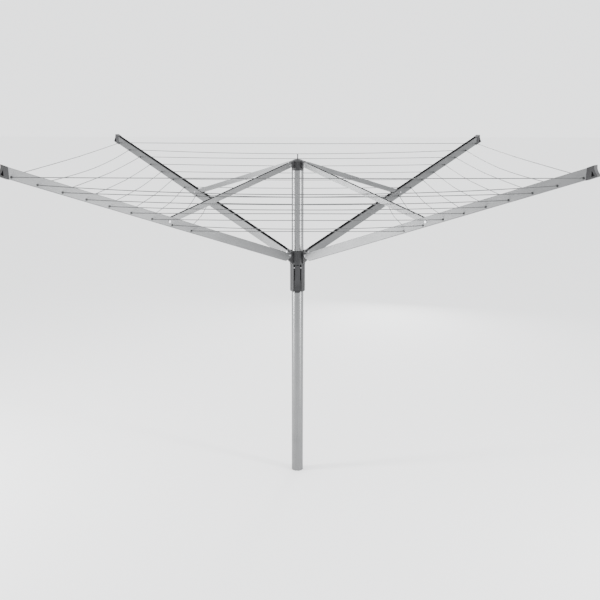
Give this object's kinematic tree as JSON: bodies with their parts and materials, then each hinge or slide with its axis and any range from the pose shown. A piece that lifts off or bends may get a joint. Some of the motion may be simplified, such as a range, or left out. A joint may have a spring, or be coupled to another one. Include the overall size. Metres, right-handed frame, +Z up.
{
  "type": "rotary clothesline",
  "caption": "Free-turning rotary clothesline: a two-part mast, a sliding hub with lift handle, braced channel arms that fold up, and rows of line strung in squares.",
  "frame": {"origin": "centre of the mast's lower end, where it stands in its ground socket", "axes": "+Z up along the mast, -Y towards the release lever at the front, arms on the diagonals"},
  "size_m": [2.0212, 2.0212, 1.5318],
  "materials": {
    "mast_aluminium": "satin anodised",
    "mast_upper_aluminium": "satin anodised, grooved extrusion",
    "arm_aluminium": "satin anodised",
    "strut_aluminium": "satin anodised",
    "dark_plastic": "fine moulded texture",
    "liner_plastic": "plain extruded",
    "bearing_plastic": "natural acetal",
    "eyelet_plastic": "smooth",
    "zinc_steel": "bright zinc plated",
    "spring_steel": "drawn wire",
    "line_cord": "smooth vinyl sheath"
  },
  "bodies": {
    "mast_base": {"mast_lower_tube": "mast_aluminium", "mast_foot_plug": "dark_plastic", "mast_spigot": "zinc_steel", "thrust_washer": "bearing_plastic"},
    "head": {"mast_upper_tube": "mast_upper_aluminium", "spin_bushes": "bearing_plastic", "top_cap": "dark_plastic", "hanging_eye": "dark_plastic", "cap_rivets": "zinc_steel", "cap_pins": "zinc_steel"},
    "strut_rear_left": {"strut_rear_left": "strut_aluminium"},
    "arm_rear_left": {"arm_rear_left": "arm_aluminium", "arm_liner_rear_left": "liner_plastic", "arm_tip_rear_left": "dark_plastic", "line_eyelets_rear_left": "eyelet_plastic", "hub_pin_rear_left": "zinc_steel", "brace_rivet_rear_left": "zinc_steel", "lines_rear_left": "line_cord"},
    "strut_rear_right": {"strut_rear_right": "strut_aluminium"},
    "arm_rear_right": {"arm_rear_right": "arm_aluminium", "arm_liner_rear_right": "liner_plastic", "arm_tip_rear_right": "dark_plastic", "line_eyelets_rear_right": "eyelet_plastic", "hub_pin_rear_right": "zinc_steel", "brace_rivet_rear_right": "zinc_steel", "lines_rear_right": "line_cord"},
    "strut_front_left": {"strut_front_left": "strut_aluminium"},
    "arm_front_left": {"arm_front_left": "arm_aluminium", "arm_liner_front_left": "liner_plastic", "arm_tip_front_left": "dark_plastic", "line_eyelets_front_left": "eyelet_plastic", "hub_pin_front_left": "zinc_steel", "brace_rivet_front_left": "zinc_steel", "lines_front_left": "line_cord"},
    "strut_front_right": {"strut_front_right": "strut_aluminium"},
    "arm_front_right": {"arm_front_right": "arm_aluminium", "arm_liner_front_right": "liner_plastic", "arm_tip_front_right": "dark_plastic", "line_eyelets_front_right": "eyelet_plastic", "hub_pin_front_right": "zinc_steel", "brace_rivet_front_right": "zinc_steel", "lines_front_right": "line_cord"},
    "hub_slide": {"hub": "dark_plastic", "handle": "dark_plastic", "lever_pin": "zinc_steel", "lever_springs": "spring_steel"},
    "release_lever": {"release_lever": "dark_plastic"}
  },
  "joints": [
    {"name": "spin", "type": "hinge", "parent": "mast_base", "child": "head", "pos_m": [0, 0, 0.987], "axis": [0, 0, 1], "continuous": true},
    {"name": "fold", "type": "hinge", "parent": "head", "child": "strut_rear_left", "pos_m": [-0.03818, 0.03818, 1.449], "axis": [-0.7071, -0.7071, 0], "range_deg": [0, 42], "deforming": ["lines_rear_left", "lines_rear_right", "lines_front_left", "lines_front_right"]},
    {"name": "arm_rear_left", "type": "hinge", "parent": "strut_rear_left", "child": "arm_rear_left", "pos_m": [-0.50843, 0.50843, 1.27004], "axis": [-0.7071, -0.7071, 0], "range_deg": [-81.12, 0]},
    {"name": "strut_rear_right", "type": "hinge", "parent": "head", "child": "strut_rear_right", "pos_m": [0.03818, 0.03818, 1.449], "axis": [-0.7071, 0.7071, 0], "range_deg": [0, 42]},
    {"name": "arm_rear_right", "type": "hinge", "parent": "strut_rear_right", "child": "arm_rear_right", "pos_m": [0.50843, 0.50843, 1.27004], "axis": [-0.7071, 0.7071, 0], "range_deg": [-81.12, 0]},
    {"name": "strut_front_left", "type": "hinge", "parent": "head", "child": "strut_front_left", "pos_m": [-0.03818, -0.03818, 1.449], "axis": [0.7071, -0.7071, 0], "range_deg": [0, 42]},
    {"name": "arm_front_left", "type": "hinge", "parent": "strut_front_left", "child": "arm_front_left", "pos_m": [-0.50843, -0.50843, 1.27004], "axis": [0.7071, -0.7071, 0], "range_deg": [-81.12, 0]},
    {"name": "strut_front_right", "type": "hinge", "parent": "head", "child": "strut_front_right", "pos_m": [0.03818, -0.03818, 1.449], "axis": [0.7071, 0.7071, 0], "range_deg": [0, 42]},
    {"name": "arm_front_right", "type": "hinge", "parent": "strut_front_right", "child": "arm_front_right", "pos_m": [0.50843, -0.50843, 1.27004], "axis": [0.7071, 0.7071, 0], "range_deg": [-81.12, 0]},
    {"name": "hub_carry", "type": "hinge", "parent": "arm_rear_left", "child": "hub_slide", "pos_m": [-0.04101, 0.04101, 1.05], "axis": [-0.7071, -0.7071, 0], "range_deg": [0, 39.12]},
    {"name": "lever", "type": "hinge", "parent": "hub_slide", "child": "release_lever", "pos_m": [0, -0.0353, 0.99], "axis": [-1, 0, 0], "range_deg": [0, 12], "stiffness_Nm_per_rad": 0.6, "springref_deg": -5.73}
  ],
  "couplings": [
    {"joint": "arm_rear_left", "follows": "fold", "ratio": -1.931},
    {"joint": "strut_rear_right", "follows": "fold", "ratio": 1},
    {"joint": "arm_rear_right", "follows": "fold", "ratio": -1.931},
    {"joint": "strut_front_left", "follows": "fold", "ratio": 1},
    {"joint": "arm_front_left", "follows": "fold", "ratio": -1.931},
    {"joint": "strut_front_right", "follows": "fold", "ratio": 1},
    {"joint": "arm_front_right", "follows": "fold", "ratio": -1.931},
    {"joint": "hub_carry", "follows": "fold", "ratio": 0.931}
  ]
}
